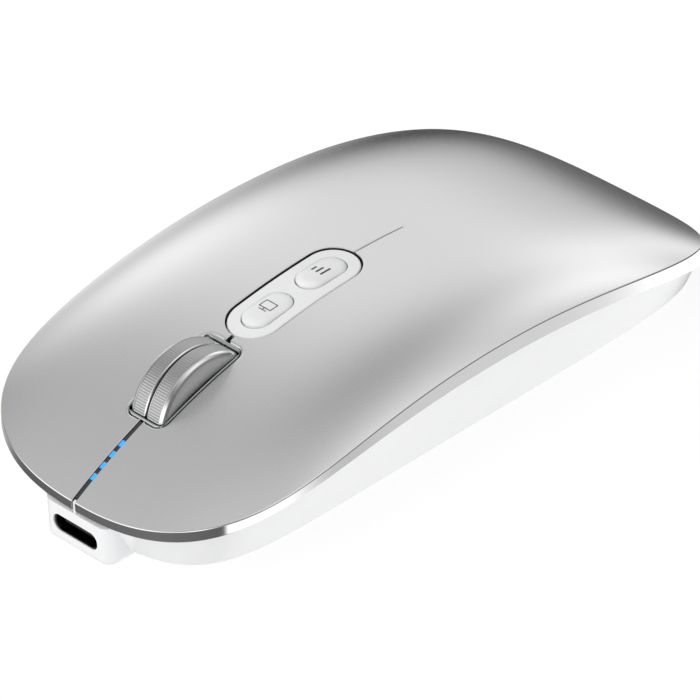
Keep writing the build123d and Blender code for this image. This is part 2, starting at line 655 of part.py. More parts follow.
save("main_board", main_board())
save("usb_shell", usb_shell())
save("usb_tongue", usb_tongue())
save("light_bar", light_bar())
save("light_bar_lamps", lamps())
save("scroll_sensor", scroll_sensor())
save("sensor_chip", block((-4.9, 4.9), (SENSOR_Y - 4.5, SENSOR_Y + 4.5), (BOARD_TOP, CHIP_TOP)))
save("sensor_lens", sensor_lens())
save("controller_chip", block((-13.5, -6.5), (-4.5, 2.5), (BOARD_TOP, 7.3)))
save("crystal", block((8.0, 11.2), (-6.0, -3.5), (BOARD_TOP, 7.1)))
save("power_switch_body", power_body())
save("power_switch_knob", power_knob())
save("battery_pack", battery_pack())
save("battery_socket", battery_socket())
save("case_screws", case_screws())
for name, foot in zip(("front_foot", "rear_foot"), foot_blanks()):
    save(name, foot)
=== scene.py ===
import math

import bpy
import numpy as np
from mathutils import Matrix, Vector
from mathutils.geometry import delaunay_2d_cdt


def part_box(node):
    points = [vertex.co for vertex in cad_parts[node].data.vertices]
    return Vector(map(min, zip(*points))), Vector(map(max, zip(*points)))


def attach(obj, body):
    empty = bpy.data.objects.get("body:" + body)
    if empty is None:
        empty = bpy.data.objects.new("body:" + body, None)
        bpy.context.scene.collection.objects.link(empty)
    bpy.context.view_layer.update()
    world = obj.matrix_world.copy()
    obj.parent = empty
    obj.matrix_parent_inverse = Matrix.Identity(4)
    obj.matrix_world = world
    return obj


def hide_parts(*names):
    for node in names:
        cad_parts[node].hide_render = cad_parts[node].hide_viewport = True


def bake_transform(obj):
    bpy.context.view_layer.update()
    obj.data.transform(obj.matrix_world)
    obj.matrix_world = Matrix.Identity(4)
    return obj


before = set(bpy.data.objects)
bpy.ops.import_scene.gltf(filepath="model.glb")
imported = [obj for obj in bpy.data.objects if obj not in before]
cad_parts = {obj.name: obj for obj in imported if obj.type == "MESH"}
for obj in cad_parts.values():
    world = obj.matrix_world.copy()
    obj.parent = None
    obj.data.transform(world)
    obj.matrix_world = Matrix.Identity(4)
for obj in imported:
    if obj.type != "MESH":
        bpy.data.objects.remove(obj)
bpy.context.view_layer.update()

MM = 0.001

# ---------------------------------------------------------------- form of the body, in mm
HALF_LENGTH = 56.0
HALF_WIDTH = 28.5
RIM_FRONT = (2.39, 6.31)
RIM_REAR = (2.69, 4.44)
CROWN = (23.38, -0.25, -13.05, -1.235, -2.96)
EDGE_DROP = (3.21, -0.02, -1.12)
EDGE_POWER = 5.25
PARTING = (17.46, -0.43, -8.83, -1.76, -3.48)
SKIN = 1.1
SKIRT = 0.6
HINGE_Y = 9.0
SLIT_HALF = 0.35
SEAM_HALF = 0.06
SLOT_HALF = 3.7
SLOT_FRONT = -42.3
SLOT_REAR = -25.8
SLOT_CORNER = 1.6
PILL_HALF = 4.5
PILL_Y = -12.55
PILL_HALF_LENGTH = 11.9
PILL_GAP = 0.26
BUTTON_HALF = 2.3
BUTTON_HALF_LENGTH = 4.2
BUTTON_GAP = 0.12
DESKTOP_Y = -17.8
SPEED_Y = -7.2
WHEEL_Y = -32.7
WHEEL_Z = 13.3
WHEEL_RADIUS = 9.35

# ---------------------------------------------------------------- fineness of the visible form, in mm
RIM_STEPS = 260
RIM_ROUND = 0.28
FOOT_ROUND = 0.12
SLIT_EDGE = 0.1                 # rounding of the edges of the slit and the pill's opening
SEAM_EDGE = 0.2
SLOT_EDGE = 0.5
POINT_SPACING = 0.45
GRID_SPACING = 0.9
INNER_SPACING = 2.6
WELD_DISTANCE = 0.0004


# ================================================================ form functions
def polynomial(terms, y):
    u = y / HALF_LENGTH
    return sum(term * u ** power for power, term in enumerate(terms))


def slope_of(terms, y):
    u = y / HALF_LENGTH
    return sum(power * term * u ** (power - 1) for power, term in enumerate(terms) if power) / HALF_LENGTH


def surface(x, y):
    """Height of the outer surface of the top cover."""
    return polynomial(CROWN, y) - polynomial(EDGE_DROP, y) * np.abs(x / HALF_WIDTH) ** EDGE_POWER


def surface_normal(x, y):
    x, y = np.asarray(x, float), np.asarray(y, float)
    share = np.abs(x / HALF_WIDTH)
    along_x = -polynomial(EDGE_DROP, y) * EDGE_POWER * share ** (EDGE_POWER - 1) * np.sign(x) / HALF_WIDTH
    along_y = slope_of(CROWN, y) - slope_of(EDGE_DROP, y) * share ** EDGE_POWER
    normal = np.stack([-along_x, -along_y, np.ones_like(x)], -1)
    return normal / np.linalg.norm(normal, axis=-1, keepdims=True)


def rim(angles):
    """Points of the rim outline and its outward directions, at angles of a circle stretched to it."""
    c, s = np.cos(angles), np.sin(angles)
    p = np.where(s >= 0, RIM_REAR[0], RIM_FRONT[0])
    q = np.where(s >= 0, RIM_REAR[1], RIM_FRONT[1])
    low, high = np.full_like(c, 0.5), np.full_like(c, 2.0)
    for _ in range(50):
        middle = (low + high) / 2
        inside = np.abs(middle * c) ** p + np.abs(middle * s) ** q < 1
        low, high = np.where(inside, middle, low), np.where(inside, high, middle)
    u, v = low * c, low * s
    points = np.stack([HALF_WIDTH * u, HALF_LENGTH * v], -1)
    away = np.stack([p * np.abs(u) ** (p - 1) * np.sign(u) / HALF_WIDTH,
                     q * np.abs(v) ** (q - 1) * np.sign(v) / HALF_LENGTH], -1)
    return points, away / np.linalg.norm(away, axis=-1, keepdims=True)


def lift(points, heights):
    return np.column_stack([points, heights])


def flat_normals(points, direction):
    return np.tile(np.asarray(direction, float), (len(points), 1))


# ================================================================ outlines
def line(start, end, spacing=POINT_SPACING):
    count = max(2, int(round(math.dist(start, end) / spacing)) + 1)
    share = np.linspace(0, 1, count)[:, None]
    return np.asarray(start, float) * (1 - share) + np.asarray(end, float) * share


def arc(center, radius, start_degrees, end_degrees, spacing=POINT_SPACING):
    sweep = math.radians(abs(end_degrees - start_degrees))
    count = max(5, int(round(sweep * radius / spacing)) + 1)
    angles = np.radians(np.linspace(start_degrees, end_degrees, count))
    return np.asarray(center, float) + radius * np.stack([np.cos(angles), np.sin(angles)], -1)


def chain(*runs):
    """Joins runs end to end and drops the repeated points between them."""
    points = [runs[0]]
    for run in runs[1:]:
        repeated = np.linalg.norm(run[0] - points[-1][-1]) < 1e-6
        points.append(run[1:] if repeated else run)
    return np.concatenate(points)


def left_hand_normals(path):
    """Unit directions to the left of an open path, at each of its points, longer at corners."""
    step = np.diff(path, axis=0)
    step = step / np.linalg.norm(step, axis=1, keepdims=True)
    side = np.stack([-step[:, 1], step[:, 0]], -1)
    before, after = np.vstack([side[:1], side]), np.vstack([side, side[-1:]])
    total = before + after
    return total / np.maximum(1 + (before * after).sum(1, keepdims=True), 0.35)


def even(path, count):
    """The same path with a set number of evenly spaced points."""
    reach = np.concatenate([[0], np.cumsum(np.linalg.norm(np.diff(path, axis=0), axis=1))])
    stops = np.linspace(0, reach[-1], count)
    return np.stack([np.interp(stops, reach, path[:, i]) for i in (0, 1)], -1)


def inside_polygon(points, polygon):
    x, y = points[:, 0][:, None], points[:, 1][:, None]
    x0, y0 = polygon[:, 0], polygon[:, 1]
    x1, y1 = np.roll(x0, -1), np.roll(y0, -1)
    crosses = (y0 > y) != (y1 > y)
    with np.errstate(divide="ignore", invalid="ignore"):
        hit = x < (x1 - x0) * (y - y0) / (y1 - y0) + x0
    return (crosses & hit).sum(1) % 2 == 1


def triangulate(polygon, spacing):
    """Points and triangles that fill a closed outline, with an even grid inside it."""
    low, high = polygon.min(0), polygon.max(0)
    columns = np.arange(low[0] + spacing / 2, high[0], spacing)
    rows = np.arange(low[1] + spacing / 2, high[1], spacing * 0.9)
    grid = np.array([(x + spacing / 2 * (i % 2), y) for i, y in enumerate(rows) for x in columns])
    grid = grid[inside_polygon(grid, polygon)]
    distance = np.full(len(grid), np.inf)
    for corner in polygon:
        distance = np.minimum(distance, np.hypot(grid[:, 0] - corner[0], grid[:, 1] - corner[1]))
    grid = grid[distance > spacing * 0.55]
    points = np.concatenate([polygon, grid])
    loop = list(range(len(polygon)))
    edges = [(i, (i + 1) % len(loop)) for i in loop]
    made = delaunay_2d_cdt([Vector(point) for point in points], edges, [loop], 1, 1e-7)
    return np.array([tuple(v) for v in made[0]]), [tuple(face) for face in made[2]]


# ================================================================ mesh building
class Patchwork:
    """Collects surface patches with exact normals and joins them into one object."""

    def __init__(self):
        self.points, self.normals, self.faces, self.slots = [], [], [], []
        self.count = 0

    def add(self, points, normals, faces, slot=0):
        points, normals = np.asarray(points, float), np.asarray(normals, float)
        for face in faces:
            corners = points[list(face)]
            across = np.cross(corners, np.roll(corners, -1, axis=0)).sum(0)
            if across @ normals[list(face)].sum(0) < 0:
                face = tuple(reversed(face))
            self.faces.append([self.count + i for i in face])
            self.slots.append(slot)
        self.points.append(points)
        self.normals.append(normals)
        self.count += len(points)

    def strip(self, rows, normals, slot=0, closed=False):
        """Quads between rows of equal length."""
        width = len(rows[0])
        faces = []
        for row in range(len(rows) - 1):
            for i in range(width if closed else width - 1):
                j = (i + 1) % width
                first, second = row * width, (row + 1) * width
                faces.append((first + i, first + j, second + j, second + i))
        self.add(np.concatenate(rows), np.concatenate(normals), faces, slot)

    def mirrored(self):
        """The same patches on the other side of the middle plane."""
        other = Patchwork()
        flip = np.array([-1.0, 1.0, 1.0])
        other.points = [points * flip for points in self.points]
        other.normals = [normals * flip for normals in self.normals]
        other.faces = [list(reversed(face)) for face in self.faces]
        other.slots = list(self.slots)
        other.count = self.count
        return other

    def join(self, other):
        self.faces += [[self.count + i for i in face] for face in other.faces]
        self.points += other.points
        self.normals += other.normals
        self.slots += other.slots
        self.count += other.count
        return self

    def build(self, name, materials):
        points, normals = np.concatenate(self.points), np.concatenate(self.normals)
        keys = np.round(points / WELD_DISTANCE).astype(np.int64)
        _, first, owner = np.unique(keys, axis=0, return_index=True, return_inverse=True)
        owner = owner.reshape(-1)
        faces, corner_normals, slots = [], [], []
        for face, slot in zip(self.faces, self.slots):
            kept = [i for n, i in enumerate(face) if owner[i] != owner[face[n - 1]]]
            if len(kept) >= 3:
                faces.append([int(owner[i]) for i in kept])
                corner_normals += [tuple(normals[i]) for i in kept]
                slots.append(slot)
        mesh = bpy.data.meshes.new(name)
        mesh.from_pydata([tuple(p) for p in points[first] * MM], [], faces)
        mesh.polygons.foreach_set("use_smooth", [True] * len(faces))
        mesh.polygons.foreach_set("material_index", slots)
        for material in materials:
            mesh.materials.append(material)
        mesh.normals_split_custom_set(corner_normals)
        mesh.update()
        piece = bpy.data.objects.new(name, mesh)
        bpy.context.scene.collection.objects.link(piece)
        return piece


def smooth_by_angle(piece, degrees=35.0):
    """Smooth shading with sharp edges where faces meet at more than the angle."""
    mesh = piece.data
    mesh.polygons.foreach_set("use_smooth", [True] * len(mesh.polygons))
    mesh.set_sharp_from_angle(angle=math.radians(degrees))


# ================================================================ materials
def new_material(name, color, metallic=0.0, roughness=0.5, coat=0.0, coat_roughness=0.05):
    material = bpy.data.materials.new(name)
    material.use_nodes = True
    shader = material.node_tree.nodes["Principled BSDF"]
    shader.inputs["Base Color"].default_value = (*color, 1)
    shader.inputs["Metallic"].default_value = metallic
    shader.inputs["Roughness"].default_value = roughness
    shader.inputs["Coat Weight"].default_value = coat
    shader.inputs["Coat Roughness"].default_value = coat_roughness
    return material, material.node_tree, shader


def noise(tree, scale, detail=4.0, stretch=(1, 1, 1)):
    """Noise over the object's own coordinates, which are metres."""
    place = tree.nodes.new("ShaderNodeTexCoord")
    mapping = tree.nodes.new("ShaderNodeMapping")
    mapping.inputs["Scale"].default_value = stretch
    texture = tree.nodes.new("ShaderNodeTexNoise")
    texture.inputs["Scale"].default_value = scale
    texture.inputs["Detail"].default_value = detail
    tree.links.new(place.outputs["Object"], mapping.inputs["Vector"])
    tree.links.new(mapping.outputs["Vector"], texture.inputs["Vector"])
    return texture.outputs["Fac"]


def spread(tree, value, low, high):
    ramp = tree.nodes.new("ShaderNodeMapRange")
    ramp.inputs["To Min"].default_value = low
    ramp.inputs["To Max"].default_value = high
    tree.links.new(value, ramp.inputs["Value"])
    return ramp.outputs["Result"]


def bump(tree, shader, height, distance, strength=1.0):
    node = tree.nodes.new("ShaderNodeBump")
    node.inputs["Distance"].default_value = distance
    node.inputs["Strength"].default_value = strength
    tree.links.new(height, node.inputs["Height"])
    tree.links.new(node.outputs["Normal"], shader.inputs["Normal"])


def tint(tree, shader, value, dark, light):
    mix = tree.nodes.new("ShaderNodeMix")
    mix.data_type = "RGBA"
    mix.inputs["A"].default_value = (*dark, 1)
    mix.inputs["B"].default_value = (*light, 1)
    tree.links.new(value, mix.inputs["Factor"])
    tree.links.new(mix.outputs["Result"], shader.inputs["Base Color"])


def satin_silver():
    """Fine bead-blasted metal: a grain far smaller than a millimetre, soft highlights."""
    material, tree, shader = new_material("satin_silver", (0.72, 0.72, 0.725), 1.0, 0.27)
    grain = noise(tree, 5200.0, 2.0)
    broad = noise(tree, 60.0, 3.0)
    tint(tree, shader, broad, (0.715, 0.715, 0.72), (0.735, 0.735, 0.74))
    tree.links.new(spread(tree, grain, 0.26, 0.28), shader.inputs["Roughness"])
    bump(tree, shader, grain, 0.0000012, 0.4)
    return material


def polished_silver():
    """Diamond-cut edge with faint turning lines along its height."""
    material, tree, shader = new_material("polished_silver", (0.74, 0.74, 0.75), 1.0, 0.1)
    lines = noise(tree, 900.0, 3.0, (0.08, 0.08, 1.0))
    tree.links.new(spread(tree, lines, 0.07, 0.14), shader.inputs["Roughness"])
    bump(tree, shader, lines, 0.000003, 0.4)
    return material


def plastic(name, color, roughness, coat=0.0, specular=0.5, texture_scale=1800.0, depth=0.000004):
    material, tree, shader = new_material(name, color, 0.0, roughness, coat)
    shader.inputs["Specular IOR Level"].default_value = specular
    grain = noise(tree, texture_scale, 3.0)
    light = tuple(min(1.0, c * 1.03 + 0.002) for c in color)
    dark = tuple(c * 0.97 for c in color)
    tint(tree, shader, noise(tree, 90.0, 2.0), dark, light)
    tree.links.new(spread(tree, grain, roughness * 0.9, roughness * 1.1), shader.inputs["Roughness"])
    bump(tree, shader, grain, depth, 0.4)
    return material


def metal(name, color, roughness, scale=700.0, stretch=(1, 1, 1)):
    material, tree, shader = new_material(name, color, 1.0, roughness)
    grain = noise(tree, scale, 3.0, stretch)
    tree.links.new(spread(tree, grain, roughness * 0.8, roughness * 1.2), shader.inputs["Roughness"])
    bump(tree, shader, grain, 0.000004, 0.4)
    return material


def lamp_glow(name, color, strength):
    material, tree, shader = new_material(name, color, 0.0, 0.25)
    shader.inputs["Emission Color"].default_value = (*color, 1)
    shader.inputs["Emission Strength"].default_value = strength
    tint(tree, shader, noise(tree, 3000.0), tuple(c * 0.9 for c in color), color)
    return material


def clear_plastic(name):
    material, tree, shader = new_material(name, (0.95, 0.96, 0.97), 0.0, 0.06)
    shader.inputs["Transmission Weight"].default_value = 0.9
    shader.inputs["IOR"].default_value = 1.49
    bump(tree, shader, noise(tree, 400.0), 0.00001, 0.2)
    return material


SILVER = satin_silver()
POLISHED = polished_silver()
WHITE = plastic("gloss_white", (0.825, 0.828, 0.835), 0.22, specular=0.14)
BUTTON_WHITE = plastic("button_white", (0.82, 0.822, 0.828), 0.3, specular=0.4)
INNER_WHITE = plastic("inner_white", (0.8, 0.8, 0.8), 0.5)
BLACK = plastic("matte_black", (0.018, 0.018, 0.02), 0.45)
BAR_BLACK = plastic("bar_black", (0.03, 0.03, 0.033), 0.35)
INK = plastic("icon_ink", (0.045, 0.045, 0.05), 0.5)
WHEEL_METAL = metal("wheel_metal", (0.42, 0.42, 0.42), 0.3, 2600.0)
WHEEL_SIDE = metal("wheel_side", (0.5, 0.5, 0.5), 0.42, 2600.0)
GUARD = metal("guard_grey", (0.46, 0.48, 0.475), 0.16, 900.0)
WHEEL_POLISH = metal("wheel_polish", (0.72, 0.72, 0.73), 0.1, 2600.0)
STEEL = metal("steel", (0.55, 0.55, 0.56), 0.3)
# socket shell steel painted nearly black: painted shade standing in for the shade inside the charging
# socket's mouth
SOCKET_SHADE_STEEL = metal("steel_painted_shade", (0.12, 0.12, 0.125), 0.22)
GOLD = metal("contact_gold", (0.9, 0.75, 0.45), 0.25)
BOARD = plastic("board_green", (0.02, 0.13, 0.06), 0.35, coat=0.3)
FOIL = metal("battery_foil", (0.5, 0.51, 0.53), 0.35, 300.0)
FOOT = plastic("glide_foot", (0.05, 0.05, 0.052), 0.4)
PLUNGER = plastic("switch_plunger", (0.6, 0.04, 0.03), 0.35)
LAMP = lamp_glow("lamp_blue", (0.012, 0.27, 0.78), 1.0)
CLEAR = clear_plastic("clear_lens")


# ================================================================ top cover
def opening_path():
    """Edge of the right-hand (+X) half from the seam's end to the front of the slit, in order."""
    rear_center, front_center = PILL_Y + PILL_HALF_LENGTH - PILL_HALF, PILL_Y - PILL_HALF_LENGTH + PILL_HALF
    seam_meets = math.degrees(math.acos(SEAM_HALF / PILL_HALF))
    slit_meets = math.degrees(math.acos(SLIT_HALF / PILL_HALF))
    slot_x = SLOT_HALF - SLOT_CORNER
    pill_rear = arc((0, rear_center), PILL_HALF, seam_meets, 0)
    pill_front = arc((0, front_center), PILL_HALF, 0, -slit_meets)
    front = rim(np.array([-math.pi / 2]))[0][0, 1]
    return [
        (arc((0, HINGE_Y), SEAM_HALF, 90, 0, 0.06), SEAM_EDGE),
        (line((SEAM_HALF, HINGE_Y), pill_rear[0]), SEAM_EDGE),
        (pill_rear, SLIT_EDGE),
        (line(pill_rear[-1], pill_front[0]), SLIT_EDGE),
        (pill_front, SLIT_EDGE),
        (line(pill_front[-1], (SLIT_HALF, SLOT_REAR)), SLIT_EDGE),
        (line((SLIT_HALF, SLOT_REAR), (slot_x, SLOT_REAR)), SLOT_EDGE),
        (arc((slot_x, SLOT_REAR - SLOT_CORNER), SLOT_CORNER, 90, 0, 0.25), SLOT_EDGE),
        (line((SLOT_HALF, SLOT_REAR - SLOT_CORNER), (SLOT_HALF, SLOT_FRONT + SLOT_CORNER)), SLOT_EDGE),
        (arc((slot_x, SLOT_FRONT + SLOT_CORNER), SLOT_CORNER, 0, -90, 0.25), SLOT_EDGE),
        (line((slot_x, SLOT_FRONT), (SLIT_HALF, SLOT_FRONT)), SLOT_EDGE),
        (line((SLIT_HALF, SLOT_FRONT), (SLIT_HALF, front)), SLIT_EDGE),
    ]


def half_cover():
    """The +X half of the top cover as a closed shell: skin, polished band, slit, pill and wheel edges."""
    work = Patchwork()
    start = -math.pi / 2
    for _ in range(20):
        start += (SLIT_HALF - rim(np.array([start]))[0][0, 0]) / (HALF_WIDTH * 1.1)
    angles = np.linspace(start, math.pi / 2, RIM_STEPS)
    outline, away = rim(angles)
    out = np.column_stack([away, np.zeros(len(away))])

    # polished band: rounded upper edge, upright face, rounded lower edge, foot face, inside face
    normal = surface_normal(outline[:, 0], outline[:, 1])
    lean = np.arctan2((normal * out).sum(1), normal[:, 2])
    edge_inset = RIM_ROUND * (1 - np.sin(lean))
    skin_edge = outline - edge_inset[:, None] * away
    skin_height = surface(skin_edge[:, 0], skin_edge[:, 1])
    core = skin_height - RIM_ROUND * np.cos(lean)
    rows, normals = [], []
    for share in np.linspace(0, 1, 5):
        turn = (math.pi / 2 - lean) * (1 - share)
        inset = RIM_ROUND * (1 - np.cos(turn))
        rows.append(lift(outline - inset[:, None] * away, core + RIM_ROUND * np.sin(turn)))
        normals.append(out * np.cos(turn)[:, None] + np.outer(np.sin(turn), (0, 0, 1)))
    low = polynomial(PARTING, outline[:, 1])
    for turn in np.radians((0, -30, -60, -90)):
        inset = FOOT_ROUND * (1 - math.cos(turn))
        rows.append(lift(outline - inset * away, low + FOOT_ROUND * (1 + math.sin(turn))))
        normals.append(out * math.cos(turn) + np.array((0, 0, math.sin(turn))))
    work.strip(rows, normals, 1)
    band = rows
    inner_edge = outline - SKIRT * away
    foot_rows = [rows[-1], lift(inner_edge, low)]
    work.strip(foot_rows, [flat_normals(outline, (0, 0, -1))] * 2, 1)
    inner_top = lift(inner_edge, surface(inner_edge[:, 0], inner_edge[:, 1]) - SKIN)
    work.strip([foot_rows[1], inner_top], [-out, -out], 1)

    # edges of the openings: a rounded shoulder and an upright wall
    runs = opening_path()
    path = chain(*[run for run, _ in runs])
    widths = np.concatenate([np.full(len(run) - 1, width) for run, width in runs] + [[SLIT_EDGE]])
    inward = left_hand_normals(path)
    path[-1, 1] = skin_edge[0, 1] + SLIT_EDGE * 1.5
    rows, normals = [], []
    for turn in np.radians((0, 22, 45, 67, 90)):
        back = (widths * (1 - math.sin(turn)))[:, None]
        place = path + inward * back
        place[0, 0] = 0.0
        height = surface(place[:, 0], place[:, 1]) - widths * (1 - math.cos(turn))
        rows.append(lift(place, height))
        facing = surface_normal(place[:, 0], place[:, 1]) * math.cos(turn)
        facing[:, :2] -= inward * math.sin(turn)
        normals.append(facing / np.linalg.norm(facing, axis=1, keepdims=True))
    skin_opening = rows[0][:, :2]
    work.strip(rows, normals, 1)
    floor_path = path.copy()
    floor_path[-1, 1] = inner_edge[0, 1]
    wall = [rows[-1], lift(floor_path, surface(floor_path[:, 0], floor_path[:, 1]) - SKIN)]
    side = -np.column_stack([inward, np.zeros(len(inward))])
    seam_count = sum(len(run) - 1 for run, _ in runs[:2])
    for part, slot in ((slice(0, seam_count + 1), 0), (slice(seam_count, None), 2)):
        work.strip([row[part] for row in wall], [side[part]] * 2, slot)

    # top skin, under skin and the plane where the two halves meet
    count = int((HALF_LENGTH - HINGE_Y) / GRID_SPACING)
    top_joint = line(skin_edge[-1], skin_opening[0], (skin_edge[-1][1] - skin_opening[0][1]) / count)
    low_joint = line(inner_edge[-1], floor_path[0], (inner_edge[-1][1] - floor_path[0][1]) / count)
    for edge, joint, opening, spacing, drop in (
            (skin_edge, top_joint, skin_opening, GRID_SPACING, 0.0),
            (inner_edge, low_joint, floor_path, INNER_SPACING, SKIN)):
        polygon = np.concatenate([edge, joint[1:-1], opening])
        flat, faces = triangulate(polygon, spacing)
        facing = surface_normal(flat[:, 0], flat[:, 1]) * (-1 if drop else 1)
        work.add(lift(flat, surface(flat[:, 0], flat[:, 1]) - drop), facing, faces, 2 if drop else 0)
    joint_rows = [lift(top_joint, surface(top_joint[:, 0], top_joint[:, 1])),
                  lift(low_joint, surface(low_joint[:, 0], low_joint[:, 1]) - SKIN)]
    work.strip(joint_rows, [flat_normals(top_joint, (-1, 0, 0))] * 2, 2)

    # the two cut ends of the band
    for column, extra in ((0, [wall[1][-1], wall[0][-1]] + [row[-1] for row in rows[-2::-1]]), (-1, [])):
        corners = [row[column] for row in band] + [foot_rows[1][column], inner_top[column]] + extra
        work.add(corners, flat_normals(corners, (-1, 0, 0)), [tuple(range(len(corners)))], 1)
    return work


def build_covers():
    left = half_cover()
    materials = [SILVER, POLISHED, BLACK]
    for work, name, body, nodes in (
            (left.mirrored(), "cover_right_half", "right_click", ["right_click_plate"]),
            (left, "cover_left_half", "left_click", ["left_click_plate", "palm_cover"])):
        piece = work.build(name, materials)
        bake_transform(piece)
        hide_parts(*nodes)


# ================================================================ button bezel and caps
BEZEL_SINK = 0.1
BEZEL_DEPTH = 2.6
BEZEL_EDGE = 0.32
BEZEL_SPACING = 0.5
HOLE_EDGE = 0.18
HOLE_DEPTH = 1.2


def stadium_half(half_width, half_length, y):
    """Right-hand half of a round-ended outline, from its front tip to its rear tip."""
    reach = half_length - half_width
    return chain(arc((0, y - reach), half_width, -90, 0, 0.3),
                 line((half_width, y - reach), (half_width, y + reach)),
                 arc((0, y + reach), half_width, 0, 90, 0.3))


def shoulder(work, path, inward, width, depth, sink, slot=0, steps=6):
    """Rounded edge and wall below it, along a path, sunk below the cover's surface. Gives its rows."""
    rows, normals = [], []
    for turn in np.radians(np.linspace(0, 90, steps)):
        place = path + inward * width * (1 - math.sin(turn))
        place[[0, -1], 0] = 0.0
        rows.append(lift(place, surface(place[:, 0], place[:, 1]) - sink - width * (1 - math.cos(turn))))
        facing = surface_normal(place[:, 0], place[:, 1]) * math.cos(turn)
        facing[:, :2] -= inward * math.sin(turn)
        normals.append(facing / np.linalg.norm(facing, axis=1, keepdims=True))
    rows.append(lift(path, surface(path[:, 0], path[:, 1]) - sink - depth))
    normals.append(-np.column_stack([inward, np.zeros(len(inward))]))
    work.strip(rows, normals, slot)
    return rows


def build_bezel():
    """White plate in the pill's opening, with a round-ended hole for each button."""
    work = Patchwork()
    outer = stadium_half(PILL_HALF - PILL_GAP, PILL_HALF_LENGTH - PILL_GAP, PILL_Y)
    rows = shoulder(work, outer, left_hand_normals(outer), BEZEL_EDGE, BEZEL_DEPTH, BEZEL_SINK)
    loops = [rows[0][:, :2]]
    for y in (SPEED_Y, DESKTOP_Y):
        hole = stadium_half(BUTTON_HALF + BUTTON_GAP, BUTTON_HALF_LENGTH + BUTTON_GAP, y)[::-1]
        rows = shoulder(work, hole, left_hand_normals(hole), HOLE_EDGE, HOLE_DEPTH, BEZEL_SINK)
        loops.append(rows[0][:, :2])
    joined = [chain(line(a[-1], b[0])[1:-1], b) for a, b in zip(loops, loops[1:])]
    closed = np.concatenate([loops[0]] + joined + [line(loops[-1][-1], loops[0][0])[1:-1]])
    closed[np.abs(closed[:, 0]) < 1e-6, 0] = 0.0
    flat, faces = triangulate(closed, BEZEL_SPACING)
    height = surface(flat[:, 0], flat[:, 1]) - BEZEL_SINK
    work.add(lift(flat, height), surface_normal(flat[:, 0], flat[:, 1]), faces)
    work.join(work.mirrored())
    piece = work.build("pill_bezel", [BUTTON_WHITE])
    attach(piece, "case")
    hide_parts("button_bezel")


CAP_RISE = 0.5                  # height over the cover's surface, in the middle
CAP_SWELL = 0.5                 # how much more the front end stands proud than the rear end
CAP_CROWN = 0.14                # fall from the middle line to the edge
CAP_ROUND = 0.95                # width of the rounded edge
CAP_FALL = 0.62                 # its height as a share of its width
CAP_INSETS = (0, 0.02, 0.06, 0.12, 0.2, 0.3, 0.42, 0.56, 0.75, 1.0, 1.3, 1.6, 1.85, 2.05)
CAP_SKIRT = 1.4
CAP_SPINE = 2.0
RING_POINTS = 120
ICON_LIFT = 0.012
ICON_LINE = 0.17
BAR_LINE = 0.34


def cap_height(x, y, center_y):
    """Top of a button cap: it follows the cover, stands proud of it and falls away round its edge."""
    along = np.maximum(np.abs(y - center_y) - (BUTTON_HALF_LENGTH - BUTTON_HALF), 0)
    inset = np.clip(BUTTON_HALF - np.hypot(x, along), 0, None)
    turn = np.clip(1 - inset / BUTTON_HALF, 0, 1)
    swell = CAP_SWELL * np.clip((y - center_y) / BUTTON_HALF_LENGTH, -1, 1) / 2
    edge = np.clip(1 - inset / CAP_ROUND, 0, 1)
    fall = CAP_ROUND * CAP_FALL * (1 - np.sqrt(np.clip(1 - edge ** 2, 0, 1)))
    return surface(x, y) + CAP_RISE - swell - CAP_CROWN * turn ** 2 - fall


def cap_normal(x, y, center_y):
    step = 0.02
    across = (cap_height(x + step, y, center_y) - cap_height(x - step, y, center_y)) / (2 * step)
    along = (cap_height(x, y + step, center_y) - cap_height(x, y - step, center_y)) / (2 * step)
    normal = np.stack([-across, -along, np.ones_like(x)], -1)
    return normal / np.linalg.norm(normal, axis=-1, keepdims=True)


def build_cap(name, body, node, center_y):
    """Button cap as rings from its edge inwards, closed round a line along its middle."""
    work = Patchwork()
    rows, normals = [], []
    for inset in CAP_INSETS:
        half = stadium_half(BUTTON_HALF - inset, BUTTON_HALF_LENGTH - inset, center_y)
        ring = even(chain(half, (half * (-1, 1))[::-1][1:]), RING_POINTS + 1)[:-1]
        x, y = ring[:, 0], ring[:, 1]
        rows.append(lift(ring, cap_height(x, y, center_y)))
        normals.append(cap_normal(x, y, center_y))
    away = np.array(normals[0])
    away[:, 2] = 0
    away /= np.linalg.norm(away, axis=1, keepdims=True)
    normals[0] = away
    work.strip(rows, normals, 0, closed=True)
    skirt = rows[0].copy()
    skirt[:, 2] = surface(skirt[:, 0], skirt[:, 1]) - CAP_SKIRT
    work.strip([rows[0], skirt], [away, away], 0, closed=True)
    spine = line((0, center_y - CAP_SPINE), (0, center_y + CAP_SPINE), BEZEL_SPACING)
    ring = rows[-1]
    count = len(ring)
    center = lift(spine, cap_height(spine[:, 0], spine[:, 1], center_y))
    nearest = [int(np.argmin(np.hypot(center[:, 0] - p[0], center[:, 1] - p[1]))) for p in ring]
    points = np.concatenate([ring, center])
    faces = []
    for i in range(count):
        j = (i + 1) % count
        a, b = nearest[i], nearest[j]
        faces.append((i, j, count + a))
        if a != b:
            faces.append((j, count + b, count + a))
    work.add(points, cap_normal(points[:, 0], points[:, 1], center_y), faces)
    work.add(skirt, flat_normals(skirt, (0, 0, -1)), [tuple(range(len(skirt)))])
    piece = work.build(name, [BUTTON_WHITE])
    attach(piece, body)
    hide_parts(node)


